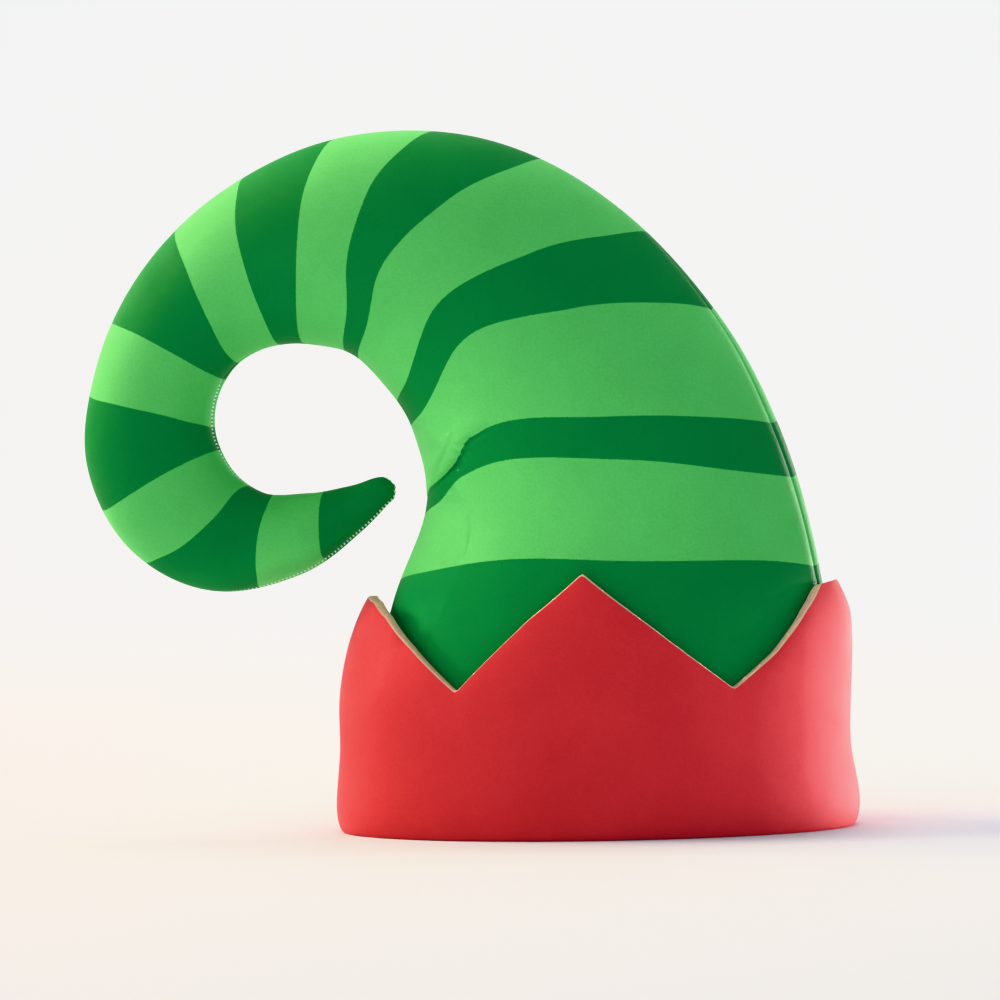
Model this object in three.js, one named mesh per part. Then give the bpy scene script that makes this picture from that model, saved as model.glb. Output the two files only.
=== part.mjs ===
// A curled elf hat of foam-backed cloth, standing on its turned-in hem.
// Millimetres, +Z up, +X towards the bulging side of the crown, -Y towards the front.
// The origin lies on the floor, at the middle of the opening for the head.

import * as THREE from "three";

// Thickness of the foam-backed cloth, where it is sewn and where it is cut free and springs open,
// and the clearance between edges that are sewn together.
const WALL = 4;
const CUT_WALL = 5.2;
const SEAM_GAP = 0.3;

// The crown, one row for each section from the rim to the tip.
// x, z: middle of the section, which lies across the spine
// turn: degrees from +X up to the direction of the outer seam
// width: middle to seam; depth: middle to the front face
// inner, outer: fullness of the half towards that seam, where 2 is an ellipse and more is flatter in front
// twist: degrees by which the seams are turned, towards the front on the outer side
const CROWN_SECTIONS = [
  { at: "rim", x: 0, z: 10.3, turn: 0, width: 121.6, depth: 61, inner: 2, outer: 2, twist: 4 },
  { at: "hem", x: 0.5, z: 36, turn: 0, width: 117, depth: 60.5, inner: 2, outer: 2, twist: 6 },
  { at: "brow", x: 4, z: 74, turn: 0, width: 111.5, depth: 59, inner: 2, outer: 2, twist: 8 },
  { at: "cuff_top", x: 7.5, z: 115, turn: 0, width: 104, depth: 57.5, inner: 2, outer: 2.1, twist: 9 },
  { at: "neck", x: 11.3, z: 157, turn: 0, width: 91.8, depth: 56, inner: 2, outer: 2.3, twist: 11 },
  { at: "bulge", x: 3, z: 193, turn: 2, width: 87.6, depth: 54.5, inner: 2.1, outer: 2.3, twist: 12 },
  { at: "bend_1", x: -14.7, z: 228, turn: 12, width: 82, depth: 52.5, inner: 2.1, outer: 2.3, twist: 8 },
  { at: "bend_2", x: -47.6, z: 265.2, turn: 28, width: 74.3, depth: 49, inner: 2.1, outer: 2.3, twist: 0 },
  { at: "bend_3", x: -86, z: 285, turn: 50, width: 64.8, depth: 44.5, inner: 2.1, outer: 2.3, twist: -3 },
  { at: "top", x: -128, z: 287.6, turn: 76, width: 52.2, depth: 38.5, inner: 2.1, outer: 2.2, twist: -3 },
  { at: "roll_1", x: -165, z: 274.6, turn: 105, width: 40.5, depth: 31.5, inner: 2.1, outer: 2.2, twist: -4 },
  { at: "roll_2", x: -193, z: 251.7, turn: 137, width: 33.4, depth: 26.5, inner: 2.1, outer: 2.1, twist: -7 },
  { at: "roll_3", x: -209.4, z: 222, turn: 168, width: 31.4, depth: 24.5, inner: 2.1, outer: 2.1, twist: -10 },
  { at: "roll_4", x: -213.8, z: 189, turn: 192, width: 33, depth: 24.5, inner: 2.1, outer: 2.1, twist: -9 },
  { at: "roll_5", x: -199.8, z: 158.4, turn: 213, width: 32.8, depth: 24, inner: 2.1, outer: 2.1, twist: -5 },
  { at: "roll_6", x: -172.2, z: 142, turn: 238, width: 28.8, depth: 21.5, inner: 2.1, outer: 2.1, twist: 4 },
  { at: "tail_1", x: -139, z: 145.6, turn: 263, width: 20.8, depth: 16.5, inner: 2, outer: 2, twist: 15 },
  { at: "tail_2", x: -115, z: 157, turn: 282, width: 12.6, depth: 10.6, inner: 2, outer: 2, twist: 23 },
  { at: "tail_3", x: -102.2, z: 165.2, turn: 291, width: 8.2, depth: 7, inner: 2, outer: 2, twist: 27 },
  { at: "tail_4", x: -97.6, z: 167.2, turn: 293, width: 5.9, depth: 5, inner: 2, outer: 2, twist: 27 },
  { at: "tip", x: -95.2, z: 168.2, turn: 294, width: 0, depth: 0, inner: 2, outer: 2, twist: 27 },
];

// Rings of facets between two rows, segments across a panel, and the row where the hollow ends.
const RINGS_PER_ROW = 3;
const PANEL_SEGMENTS = 14;
const HOLLOW_END = CROWN_SECTIONS.findIndex((row) => row.at === "tail_2");

// The seams draw the panels' edges inwards, over a short way from the seam, and less where the tail is thin.
const SEAM_PULL = 2.4;
const SEAM_PULL_RUN = 6;
const FULL_PULL_DEPTH = 20;

// The crease of the bend, on the inner side of both panels.
// start: where it leaves the inner seam, as a row of the table; climb: rows that it rises over its run,
// ever more steeply; run: share of the panel that it crosses; breadth: of the crease and of its lip, in rows
// depth, lip: how far the crease sinks and the lip bulges; lip_place: breadths from the crease up to the lip
const CREASES = [
  { at: "neck", start: 4.09, climb: 1.2, run: 0.4, breadth: 0.15, depth: 2.2, lip: 1.4, lip_place: 1.6 },
];

// The cuff, one row for each height: middle in x, half width and half depth of its outer face.
const CUFF_SECTIONS = [
  { height: 0, x: 0, width: 127, depth: 66 },
  { height: 13, x: 0, width: 127, depth: 66 },
  { height: 40, x: -0.8, width: 124, depth: 66 },
  { height: 66, x: -0.3, width: 124.1, depth: 66 },
  { height: 80, x: 1.1, width: 123.4, depth: 65.8 },
  { height: 92, x: 2.7, width: 122, depth: 65.6 },
  { height: 104, x: 4.5, width: 119.5, depth: 65.2 },
  { height: 116, x: 5.4, width: 114.8, depth: 64.8 },
  { height: 127, x: 6, width: 110, depth: 64.4 },
];

// The cuff's cut top edge: five points, with the notches, shoulders and slopes between them.
// place: share of the girth, from the seam at the middle of the back past the left end and the front
const CUFF_POINTS = [
  { at: "seam_notch", place: 0, height: 71 },
  { at: "back_left_point", place: 0.085, height: 120 },
  { at: "left_notch", place: 0.17, height: 71 },
  { at: "left_point", place: 0.255, height: 114.6 },
  { at: "left_shoulder", place: 0.284, height: 112.2 },
  { at: "left_slope", place: 0.31, height: 105.2 },
  { at: "left_slope_low", place: 0.345, height: 91.3 },
  { at: "front_left_notch", place: 0.391, height: 70.6 },
  { at: "front_shoulder", place: 0.441, height: 104.6 },
  { at: "front_point", place: 0.483, height: 126.4 },
  { at: "front_right_notch", place: 0.614, height: 70.2 },
  { at: "right_slope_low", place: 0.648, height: 86.3 },
  { at: "right_slope", place: 0.678, height: 105.5 },
  { at: "right_point", place: 0.706, height: 118.2 },
  { at: "right_point_end", place: 0.739, height: 119.2 },
  { at: "right_notch", place: 0.83, height: 71 },
  { at: "back_right_point", place: 0.915, height: 120 },
];
const CUFF_STEP = 0.017;
const CUFF_WALL_STEPS = 5;

// The hem: the cuff turns in under the crown's edge, with a slot between the two walls.
const HEM_SLOT = 1;
const HEM_OUTER_RUN = 3.5;
const HEM_OUTER_RISE = 13;
const HEM_FLAT = 3.5;
const HEM_INNER_RISE = 5;
const HEM_FLOOR = 5;
const HEM_ARC_STEPS = 4;
const LIP_TOP = CROWN_SECTIONS[0].z - SEAM_GAP;

const FRONT = -1;
const BACK = 1;
const { clamp, degToRad, lerp } = THREE.MathUtils;

// A column's value between the rows of a table, on a smooth curve through the rows.
function rowValue(rows, column, row) {
  const last = rows.length - 1;
  const from = Math.min(Math.floor(row), last - 1);
  const near = [from - 1, from, from + 1, from + 2].map((index) => rows[clamp(index, 0, last)][column]);
  const [before, low, high, after] = near;
  const share = row - from;
  const riseLow = (high - before) / 2;
  const riseHigh = (after - low) / 2;
  const bend = riseLow + riseHigh - 2 * (high - low);
  return low + share * (riseLow + share * (high - low - riseLow - bend * (1 - share)));
}

function crownSection(row) {
  const value = (column) => rowValue(CROWN_SECTIONS, column, row);
  return {
    x: value("x"),
    z: value("z"),
    turn: degToRad(value("turn")),
    width: value("width"),
    depth: value("depth"),
    inner: value("inner"),
    outer: value("outer"),
    twist: degToRad(value("twist")),
  };
}

// A point of an oval by its angle from the outer end, and the direction straight out of it.
function raised(value, power) {
  return Math.sign(value) * Math.abs(value) ** power;
}

function ovalPoint(width, depth, angle, fullness = 2) {
  const power = 2 / fullness;
  return new THREE.Vector2(width * raised(Math.cos(angle), power), depth * raised(Math.sin(angle), power));
}

function ovalNormal(width, depth, angle, fullness = 2) {
  const power = 2 - 2 / fullness;
  const along = raised(Math.cos(angle), power) / width;
  const over = raised(Math.sin(angle), power) / depth;
  return new THREE.Vector2(along, over).normalize();
}

// How far the cloth stands out of the plain oval: drawn in at the seams, sunk and raised at the creases.
function crownRelief(row, across, girth) {
  const toSeam = Math.min(across, 1 - across) * girth;
  let relief = -SEAM_PULL * Math.exp(-toSeam / SEAM_PULL_RUN);
  for (const crease of CREASES) {
    const way = (1 - across) / crease.run;
    const above = (row - crease.start - crease.climb * way ** 2) / crease.breadth;
    const fade = Math.max(0, 1 - way * way);
    relief -= crease.depth * fade * Math.exp(-(above ** 2));
    relief += crease.lip * fade * Math.exp(-((above - crease.lip_place) ** 2));
  }
  return relief;
}

// A point of a crown panel. row: place in the table; across: 0 at the outer seam to 1 at the inner one.
function crownPoint(side, row, across, inset) {
  const section = crownSection(row);
  const width = section.width - inset;
  const depth = section.depth - inset;
  const angle = across * Math.PI - section.twist * side;
  const fullness = Math.cos(angle) > 0 ? section.outer : section.inner;
  const girth = (Math.PI / 2) * (section.width + section.depth);
  const thinness = Math.min(1, section.depth / FULL_PULL_DEPTH);
  const flat = ovalPoint(width, depth, angle, fullness);
  flat.addScaledVector(ovalNormal(width, depth, angle, fullness), thinness * crownRelief(row, across, girth));
  return new THREE.Vector3(
    section.x + flat.x * Math.cos(section.turn),
    side * (flat.y + SEAM_GAP / 2),
    section.z + flat.x * Math.sin(section.turn),
  );
}

// Collects the faces of one closed solid, and turns them to face out.
class SolidFaces {
  constructor() {
    this.points = [];
    this.triangles = [];
  }

  point(position) {
    this.points.push(position);
    return this.points.length - 1;
  }

  triangle(a, b, c) {
    this.triangles.push([a, b, c]);
  }

  quad(a, b, c, d) {
    this.triangle(a, b, c);
    this.triangle(a, c, d);
  }

  grid(rings) {
    for (let ring = 0; ring + 1 < rings.length; ring += 1) {
      for (let step = 0; step + 1 < rings[ring].length; step += 1) {
        this.quad(rings[ring][step], rings[ring][step + 1], rings[ring + 1][step + 1], rings[ring + 1][step]);
      }
    }
  }

  volume() {
    const cross = new THREE.Vector3();
    return this.triangles.reduce((sum, [a, b, c]) => {
      cross.crossVectors(this.points[b], this.points[c]);
      return sum + this.points[a].dot(cross) / 6;
    }, 0);
  }

  geometry() {
    const inward = this.volume() < 0;
    const order = this.triangles.map(([a, b, c]) => (inward ? [a, c, b] : [a, b, c]));
    const geometry = new THREE.BufferGeometry().setFromPoints(this.points);
    geometry.setIndex(order.flat());
    geometry.computeVertexNormals();
    return geometry;
  }
}

// One crown panel: an outer and an inner face, joined at both seams, at the rim and beyond the hollow.
function crownPanel(side) {
  const faces = new SolidFaces();
  const tipRing = (CROWN_SECTIONS.length - 1) * RINGS_PER_ROW;
  const hollowRing = HOLLOW_END * RINGS_PER_ROW;
  const last = PANEL_SEGMENTS;

  // The steps across are closer near the seams, where the edge turns in.
  const evenSteps = Array.from({ length: last + 1 }, (_, step) => step / last);
  const across = evenSteps.map((share) => (share + (1 - Math.cos(Math.PI * share)) / 2) / 2);
  const ringPoints = (ring, inset) =>
    across.map((place) => faces.point(crownPoint(side, ring / RINGS_PER_ROW, place, inset)));
  const outer = Array.from({ length: tipRing }, (_, ring) => ringPoints(ring, 0));
  const inner = Array.from({ length: hollowRing }, (_, ring) => ringPoints(ring, WALL));
  const spinePoint = (row) => {
    const section = crownSection(row);
    return faces.point(new THREE.Vector3(section.x, (side * SEAM_GAP) / 2, section.z));
  };

  faces.grid(outer);
  faces.grid(inner.map((ring) => ring.toReversed()));
  faces.grid([inner[0], outer[0]]);

  // Each seam is a strip between the two faces, as far as the hollow goes.
  for (let ring = 0; ring + 1 < hollowRing; ring += 1) {
    faces.quad(outer[ring][0], outer[ring + 1][0], inner[ring + 1][0], inner[ring][0]);
    faces.quad(inner[ring][last], inner[ring + 1][last], outer[ring + 1][last], outer[ring][last]);
  }

  // The hollow closes at a point on the spine, and the seam face is whole from there to the tip.
  const hollowPoint = spinePoint(HOLLOW_END);
  const lastInner = inner[hollowRing - 1];
  const beforeEnd = outer[hollowRing - 1];
  const atEnd = outer[hollowRing];
  const afterEnd = outer[hollowRing + 1];
  for (let step = 0; step < last; step += 1) {
    faces.triangle(lastInner[step + 1], lastInner[step], hollowPoint);
  }
  faces.quad(beforeEnd[0], atEnd[0], hollowPoint, lastInner[0]);
  faces.quad(lastInner[last], hollowPoint, atEnd[last], beforeEnd[last]);
  faces.triangle(atEnd[0], afterEnd[0], hollowPoint);
  faces.triangle(hollowPoint, afterEnd[last], atEnd[last]);
  faces.triangle(hollowPoint, afterEnd[0], afterEnd[last]);
  for (let ring = hollowRing + 1; ring + 1 < tipRing; ring += 1) {
    faces.quad(outer[ring][0], outer[ring + 1][0], outer[ring + 1][last], outer[ring][last]);
  }

  // The last ring runs together in the tip.
  const tipPoint = spinePoint(CROWN_SECTIONS.length - 1);
  const lastOuter = outer[tipRing - 1];
  for (let step = 0; step < last; step += 1) {
    faces.triangle(lastOuter[step], lastOuter[step + 1], tipPoint);
  }
  faces.triangle(lastOuter[last], lastOuter[0], tipPoint);
  return faces.geometry();
}

// The cuff's girth at the hem, from the middle of the back past the left end, the front and the right end.
class CuffGirth extends THREE.Curve {
  static angle(share) {
    return Math.PI / 2 + share * 2 * Math.PI;
  }

  getPoint(share, target = new THREE.Vector3()) {
    const flat = ovalPoint(CUFF_SECTIONS[0].width, CUFF_SECTIONS[0].depth, CuffGirth.angle(share));
    return target.set(flat.x, flat.y, 0);
  }
}

// The cuff's oval at a height, between two rows of its table.
function cuffOval(height) {
  const above = CUFF_SECTIONS.findIndex((row) => row.height > height);
  const upper = above < 0 ? CUFF_SECTIONS.length - 1 : above;
  const low = CUFF_SECTIONS[upper - 1];
  const high = CUFF_SECTIONS[upper];
  const share = (height - low.height) / (high.height - low.height);
  const between = (column) => lerp(low[column], high[column], share);
  return { x: between("x"), width: between("width"), depth: between("depth") };
}

// The cuff's section under a point of its top edge: x is the inset from its outer face, y the height.
function cuffProfile(top) {
  const corner = (inset, height) => new THREE.Vector2(inset, height);
  const turned = WALL + HEM_SLOT + WALL;
  const innerRun = turned - HEM_OUTER_RUN - HEM_FLAT;
  const wallShares = Array.from({ length: CUFF_WALL_STEPS + 1 }, (_, step) => step / CUFF_WALL_STEPS);
  const arcShares = Array.from({ length: HEM_ARC_STEPS }, (_, step) => (step + 1) / HEM_ARC_STEPS);
  const rise = (share) => Math.sin((share * Math.PI) / 2);
  const fall = (share) => 1 - Math.cos((share * Math.PI) / 2);
  return [
    ...wallShares.map((share) => corner(0, lerp(top, HEM_OUTER_RISE, share))),
    ...arcShares.map((share) => corner(HEM_OUTER_RUN * fall(share), HEM_OUTER_RISE * (1 - rise(share)))),
    corner(HEM_OUTER_RUN + HEM_FLAT, 0),
    ...arcShares.map((share) => corner(turned - innerRun * (1 - rise(share)), HEM_INNER_RISE * fall(share))),
    corner(turned, LIP_TOP),
    corner(turned - WALL, LIP_TOP),
    corner(turned - WALL, HEM_FLOOR),
    ...wallShares.map((share) => corner(lerp(WALL, CUT_WALL, share), lerp(HEM_FLOOR, top, share))),
  ];
}

// The cuff: one strip sewn into a ring, its section carried round the head under the cut edge.
function cuffRing() {
  const faces = new SolidFaces();
  const girth = new CuffGirth();
  const stations = CUFF_POINTS.flatMap((from, index) => {
    const lastPoint = index + 1 === CUFF_POINTS.length;
    const to = lastPoint ? { place: 1, height: CUFF_POINTS[0].height } : CUFF_POINTS[index + 1];
    const steps = Math.ceil((to.place - from.place) / CUFF_STEP);
    return Array.from({ length: steps }, (_, step) => ({
      place: lerp(from.place, to.place, step / steps),
      height: lerp(from.height, to.height, step / steps),
    }));
  });
  const rings = stations.map(({ place, height }) => {
    const angle = CuffGirth.angle(girth.getUtoTmapping(place));
    const ring = cuffProfile(height).map((corner) => {
      const oval = cuffOval(corner.y);
      const flat = ovalPoint(oval.width - corner.x, oval.depth - corner.x, angle);
      return faces.point(new THREE.Vector3(oval.x + flat.x, flat.y, corner.y));
    });
    return [...ring, ring[0]];
  });
  faces.grid([...rings, rings[0]]);
  return faces.geometry();
}

function piece(name, geometry, finish) {
  const mesh = new THREE.Mesh(geometry, new THREE.MeshStandardMaterial(finish));
  mesh.name = name;
  return mesh;
}

const STRIPED_CLOTH = { color: 0x2f9a4c, roughness: 0.85, metalness: 0 };
const RED_CLOTH = { color: 0xc22c31, roughness: 0.85, metalness: 0 };

const hat = new THREE.Group();
hat.add(
  piece("crown_front", crownPanel(FRONT), STRIPED_CLOTH),
  piece("crown_back", crownPanel(BACK), STRIPED_CLOTH),
  piece("cuff", cuffRing(), RED_CLOTH),
);

export default hat;
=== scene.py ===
import math

import bmesh
import bpy
import numpy as np
from mathutils import Matrix, Vector


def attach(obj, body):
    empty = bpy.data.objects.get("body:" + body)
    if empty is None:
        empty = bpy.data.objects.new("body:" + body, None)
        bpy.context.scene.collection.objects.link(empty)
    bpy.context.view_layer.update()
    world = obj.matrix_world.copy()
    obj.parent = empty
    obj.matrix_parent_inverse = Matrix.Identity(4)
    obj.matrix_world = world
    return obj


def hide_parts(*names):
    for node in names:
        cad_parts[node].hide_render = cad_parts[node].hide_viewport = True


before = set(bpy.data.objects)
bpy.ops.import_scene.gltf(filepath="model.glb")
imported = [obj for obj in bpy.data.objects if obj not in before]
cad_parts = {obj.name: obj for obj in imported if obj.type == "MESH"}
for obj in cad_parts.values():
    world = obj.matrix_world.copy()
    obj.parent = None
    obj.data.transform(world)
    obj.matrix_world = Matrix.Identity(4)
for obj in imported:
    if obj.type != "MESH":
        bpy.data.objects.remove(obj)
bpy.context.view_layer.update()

# The crown's front panel: printed knit bonded to foam with a thin backing, cut as one long curved leaf.
# It is sewn to its mirror image along both edges and turned right side out: the edges roll into the seams.
# Standing on the hem it bulges to the right, folds over at the neck and rolls up to a pointed tail.

MM = 0.001
FRONT, BACK = -1, 1
FOAM = 4.0

# Sections across the spine, in millimetres and degrees. x, z: the middle; turn: from +X to the outer seam;
# width: middle to seam; depth: middle to face; inner, outer: fullness of each half; twist: of the seams.
CROWN_SECTIONS = {
    "columns": ("x", "z", "turn", "width", "depth", "inner", "outer", "twist"),
    "rim": (0, 10.3, 0, 121.6, 61, 2, 2, 4),
    "hem": (0.5, 36, 0, 117, 60.5, 2, 2, 6),
    "brow": (4, 74, 0, 111.5, 59, 2, 2, 8),
    "cuff_top": (7.5, 115, 0, 104, 57.5, 2, 2.1, 9),
    "neck": (11.3, 157, 0, 91.8, 56, 2, 2.3, 11),
    "bulge": (3, 193, 2, 87.6, 54.5, 2.1, 2.3, 12),
    "bend_1": (-14.7, 228, 12, 82, 52.5, 2.1, 2.3, 8),
    "bend_2": (-47.6, 265.2, 28, 74.3, 49, 2.1, 2.3, 0),
    "bend_3": (-86, 285, 50, 64.8, 44.5, 2.1, 2.3, -3),
    "top": (-128, 287.6, 76, 52.2, 38.5, 2.1, 2.2, -3),
    "roll_1": (-165, 274.6, 105, 40.5, 31.5, 2.1, 2.2, -2),
    "roll_2": (-193, 251.7, 137, 33.4, 26.5, 2.1, 2.1, -3),
    "roll_3": (-209.4, 222, 168, 31.4, 24.5, 2.1, 2.1, -6),
    "roll_4": (-213.8, 189, 192, 33, 24.5, 2.1, 2.1, -5),
    "roll_5": (-199.8, 158.4, 213, 32.8, 24, 2.1, 2.1, 0),
    "roll_6": (-172.2, 142, 238, 28.8, 21.5, 2.1, 2.1, 4),
    "tail_1": (-139, 145.6, 263, 20.8, 16.5, 2, 2, 12),
    "tail_2": (-115, 157, 282, 12.6, 10.6, 2, 2, 17),
    "tail_3": (-102.2, 165.2, 291, 8.2, 7, 2, 2, 18),
    "tail_4": (-97.6, 167.2, 293, 5.9, 5, 2, 2, 16),
    "tip": (-95.2, 168.2, 294, 0, 0, 2, 2, 14),
}

# Edges of the printed stripes, from the dark base to the dark tail: the row of the sections that each edge
# crosses at six even steps from the outer seam to the inner one.
STRIPE_EDGES = {
    "columns": ("outer seam", "1/5", "2/5", "3/5", "4/5", "inner seam"),
    "base": (3.26, 3.37, 3.40, 3.44, 3.28, 3.14),
    "neck_low": (4.31, 4.43, 4.63, 4.67, 4.25, 3.97),
    "neck_high": (4.98, 5.09, 5.20, 5.21, 4.39, 4.06),
    "bulge_low": (6.10, 6.25, 6.44, 6.50, 5.51, 5.20),
    "bulge_high": (6.77, 6.85, 7.03, 7.05, 6.16, 5.78),
    "bend_low": (7.62, 7.71, 7.93, 8.01, 7.33, 6.82),
    "bend_high": (8.36, 8.49, 8.62, 8.47, 7.83, 7.22),
    "top_low": (9.05, 9.15, 9.24, 9.20, 9.06, 8.78),
    "top_high": (9.80, 9.86, 9.94, 9.92, 9.80, 9.65),
    "roll_1": (10.48, 10.54, 10.61, 10.78, 11.01, 11.07),
    "roll_2": (11.55, 11.53, 11.51, 11.54, 11.62, 11.66),
    "roll_3": (12.26, 12.32, 12.38, 12.51, 12.73, 12.90),
    "roll_4": (13.52, 13.55, 13.50, 13.42, 13.38, 13.40),
    "roll_5": (14.26, 14.32, 14.44, 14.47, 14.40, 14.55),
    "roll_6": (15.52, 15.48, 15.37, 15.24, 15.18, 15.16),
    "tail": (16.34, 16.29, 16.27, 16.27, 16.32, 16.40),
}


def rows_of(table):
    return np.array([row for name, row in table.items() if name != "columns"], float)


def eased(rows, place):
    """Values between the rows of a table, on a smooth curve through them."""
    last = len(rows) - 1
    low = np.clip(np.floor(place).astype(int), 0, last - 1)
    before, start, end, after = (rows[np.clip(low + step, 0, last)] for step in (-1, 0, 1, 2))
    share = (place - low)[..., None]
    rise_start = (end - before) / 2
    rise_end = (after - start) / 2
    bend = rise_start + rise_end - 2 * (end - start)
    return start + share * (rise_start + share * (end - start - rise_start - bend * (1 - share)))


# The fold at the neck: the bulge above slides down over the cloth below it and hides a strip of it.
# Its line climbs from the inner seam, by row and place across, in a curve with one small wave.
FOLD_START, FOLD_CLIMB, FOLD_RUN = 4.09, 1.2, 0.4
FOLD_WAVE, FOLD_WAVE_PLACE, FOLD_WAVE_REACH = 0.09, 0.672, 0.027

# In millimetres: the length of a row and the width of the panel there, how far the cloth slides, bulges
# and sinks, and how softly. Near the seam the crease fades to a small share of that.
FOLD_ROW_MM, FOLD_GIRTH = 37.0, 232.0
FOLD_SLIDE, FOLD_LIP, FOLD_SINK = 3.6, 1.9, 2.6
FOLD_SOFT, FOLD_CREASE = 2.6, 1.6
FOLD_FADE_START, FOLD_FADE_END, FOLD_LEFT_OVER = 0.76, 0.86, 0.12

# The seams draw the edges in, and the last bit of each edge rolls round to meet the other panel.
# Both are less where the crown is thinner than the full depth.
SEAM_PULL, SEAM_REACH, SEAM_ROLL, SEAM_GAP = 2.0, 6.0, 2.2, 0.3
FULL_PULL_DEPTH = 11.0

# At the tip: the least half width, and the most of the depth that the foam of one panel takes.
THINNEST, FOAM_SHARE = 0.02, 0.45


def fold_line(across):
    wave = FOLD_WAVE * np.exp(-((across - FOLD_WAVE_PLACE) / FOLD_WAVE_REACH) ** 2)
    return FOLD_START + FOLD_CLIMB * ((1 - across) / FOLD_RUN) ** 2 + wave


def neck_fold(row, across):
    way = (1 - across) / FOLD_RUN
    slant = np.sqrt(1 + (2 * FOLD_CLIMB * way / FOLD_RUN * FOLD_ROW_MM / FOLD_GIRTH) ** 2)
    above = (row - fold_line(across)) * FOLD_ROW_MM / slant
    fade = np.clip((across - FOLD_FADE_START) / (FOLD_FADE_END - FOLD_FADE_START), 0, 1)
    strength = np.clip(1 - way ** 4, 0, 1) * (1 - (1 - FOLD_LEFT_OVER) * fade)
    slide = -FOLD_SLIDE * strength * np.exp(-(above / FOLD_SOFT - 1) ** 2) * slant / FOLD_ROW_MM
    lip = FOLD_LIP * np.exp(-(above / FOLD_SOFT / 2 - 1) ** 2)
    crease = FOLD_SINK * np.exp(-(above / FOLD_CREASE) ** 2)
    return slide, (lip - crease) * strength


def raised(value, power):
    return np.sign(value) * np.abs(value) ** power


crown_rows = rows_of(CROWN_SECTIONS)


def crown_section(row):
    return np.moveaxis(eased(crown_rows, row), -1, 0)


def crown_girth(row):
    section = crown_section(row)
    return math.pi / 2 * (section[3] + section[4])


def crown_point(side, row, across, sunk=0.0):
    """A point of a panel in millimetres. across: from 0 at the outer seam to 1 at the inner one."""
    slide, lift = neck_fold(row, across)
    x, z, turn, width, depth, inner, outer, twist = crown_section(row + slide)
    inset = np.minimum(sunk, FOAM_SHARE * np.maximum(depth, 0))
    width, depth = np.maximum(width, THINNEST) - inset, np.maximum(depth, THINNEST) - inset
    angle = across * math.pi - np.radians(twist) * side
    fullness = np.where(np.cos(angle) > 0, outer, inner)
    flat_x = width * raised(np.cos(angle), 2 / fullness)
    flat_y = depth * raised(np.sin(angle), 2 / fullness)
    out_x = raised(np.cos(angle), 2 - 2 / fullness) / width
    out_y = raised(np.sin(angle), 2 - 2 / fullness) / depth
    length = np.hypot(out_x, out_y)

    to_seam = np.minimum(across, 1 - across) * math.pi / 2 * (width + depth)
    rolled = np.clip(1 - to_seam / SEAM_ROLL, 0, 1)
    seam = SEAM_PULL * np.exp(-to_seam / SEAM_REACH) + SEAM_ROLL * (1 - np.sqrt(1 - rolled ** 2))
    relief = (lift - seam) * np.minimum(1, depth / FULL_PULL_DEPTH)
    flat_x = flat_x + relief * out_x / length
    flat_y = flat_y + relief * out_y / length
    turn = np.radians(turn)
    return np.stack([
        x + flat_x * np.cos(turn),
        side * (flat_y + SEAM_GAP / 2),
        z + flat_x * np.sin(turn),
    ], -1)


# Rings an even step apart on the side where the cloth is longest, closer at the fold, and places across
# that crowd at the seams, given in millimetres where the panel is wide.
RING_STEP, LAST_ROW = 2.3, 19.97
FOLD_CROWDING, FOLD_MARGIN = 2.4, 0.15
SEAM_STEPS = np.array([0, 0.12, 0.35, 0.7, 1.15, 1.7, 2.5, 3.7, 5.5])
WIDE_GIRTH = 110
MIDDLE_STEPS = 58
TRIAL_RINGS, TRIAL_PLACES = 1900, np.linspace(0.02, 0.98, 9)

trial_rows = np.linspace(0, LAST_ROW, TRIAL_RINGS)[:, None]
trial = crown_point(FRONT, trial_rows, TRIAL_PLACES[None, :])
trial_steps = np.linalg.norm(np.diff(trial, axis=0), axis=-1).max(axis=1)
at_fold = np.abs(trial_rows[1:, 0] - FOLD_START - FOLD_CLIMB / 2) < FOLD_CLIMB / 2 + FOLD_MARGIN
trial_steps = trial_steps * np.where(at_fold, FOLD_CROWDING, 1)
trial_length = np.concatenate([[0], np.cumsum(trial_steps)])
ring_count = int(trial_length[-1] / RING_STEP)
panel_rows = np.interp(np.linspace(0, trial_length[-1], ring_count), trial_length, trial_rows[:, 0])
panel_girth = crown_girth(panel_rows)[:, None]
seam_side = SEAM_STEPS[None, :] / panel_girth * np.minimum(1, panel_girth / WIDE_GIRTH)
middle = np.linspace(0, 1, MIDDLE_STEPS + 1)[None, 1:-1]
middle = seam_side[:, -1:] + (1 - 2 * seam_side[:, -1:]) * middle
panel_across = np.concatenate([seam_side, middle, 1 - seam_side[:, ::-1]], axis=1)
panel_rows = np.repeat(panel_rows[:, None], panel_across.shape[1], axis=1)

# The neck's dark stripe at the fold: its upper edge is hidden there and shows where the lip turns under,
# and its lower edge dips towards the inner seam. Rows of the sections, and places across.
LIP_UNDERSIDE, HIDDEN_FROM, HIDDEN_TO, HIDDEN_EASE = 0.055, 0.61, 0.92, 0.05
STRIPE_DIP, DIP_FROM, DIP_RUN = 0.15, 0.72, 0.1

stripe_names = [name for name in STRIPE_EDGES if name != "columns"]
neck_low, neck_high = stripe_names.index("neck_low"), stripe_names.index("neck_high")
stripe_steps = len(STRIPE_EDGES["columns"]) - 1
stripe_rows = eased(rows_of(STRIPE_EDGES).T, panel_across * stripe_steps)
hidden = np.clip((panel_across - HIDDEN_FROM) / HIDDEN_EASE, 0, 1)
hidden = hidden * np.clip((HIDDEN_TO - panel_across) / HIDDEN_EASE, 0, 1)
at_lip = fold_line(panel_across) + LIP_UNDERSIDE
stripe_rows[..., neck_high] += hidden * (at_lip - stripe_rows[..., neck_high])
dip = np.clip((panel_across - DIP_FROM) / DIP_RUN, 0, 1)
stripe_rows[..., neck_low] -= STRIPE_DIP * dip ** 2 * (3 - 2 * dip)

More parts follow.
